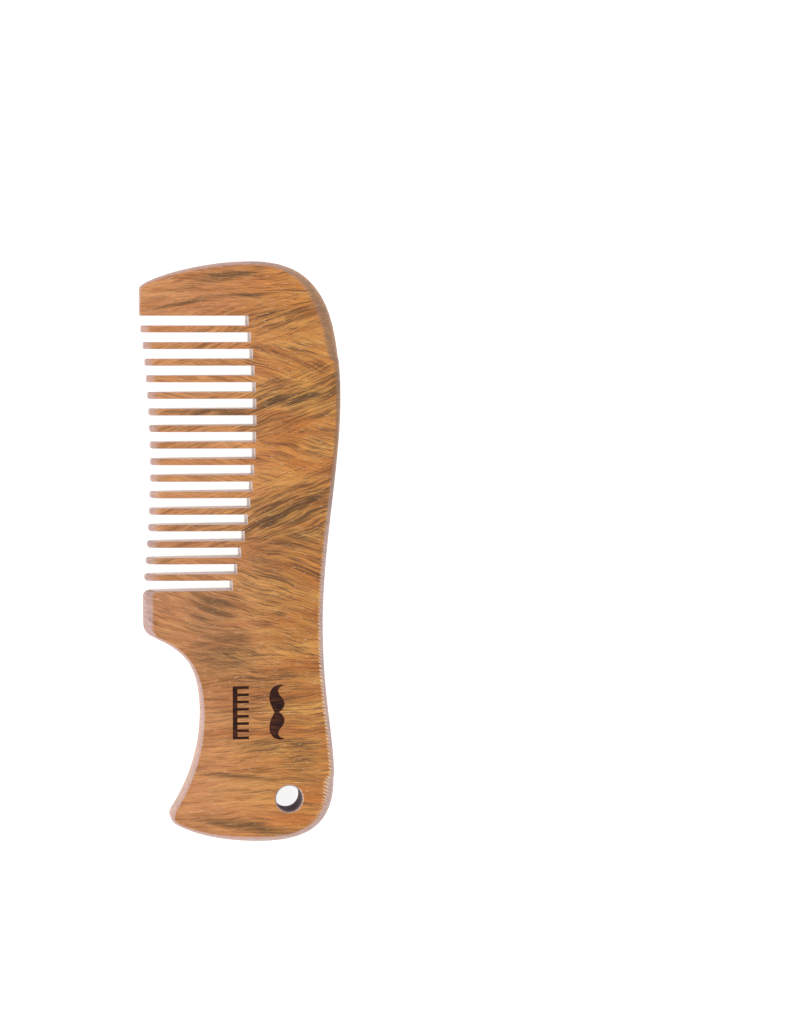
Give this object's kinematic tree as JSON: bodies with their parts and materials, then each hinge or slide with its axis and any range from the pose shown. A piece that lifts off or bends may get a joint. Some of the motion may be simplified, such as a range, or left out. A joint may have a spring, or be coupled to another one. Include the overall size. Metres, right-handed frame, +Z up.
{
  "type": "beard comb",
  "caption": "Small flat wooden comb with a row of fine teeth between two broad guards, a waisted handle and a hole to hang it by.",
  "frame": {"origin": "centre of the underside, as the comb lies flat", "axes": "+Y along the length towards the head, -X towards the tips of the teeth, +Z up through the thickness"},
  "size_m": [0.0262, 0.0762, 0.005],
  "materials": {
    "wood": "sanded and oiled, satin"
  },
  "bodies": {
    "root": {"spine": "wood", "head_guard": "wood", "heel_guard": "wood", "handle": "wood", "tooth_01": "wood", "tooth_02": "wood", "tooth_03": "wood", "tooth_04": "wood", "tooth_05": "wood", "tooth_06": "wood", "tooth_07": "wood", "tooth_08": "wood", "tooth_09": "wood", "tooth_10": "wood", "tooth_11": "wood", "tooth_12": "wood", "tooth_13": "wood", "tooth_14": "wood", "tooth_15": "wood", "tooth_16": "wood"}
  },
  "joints": []
}
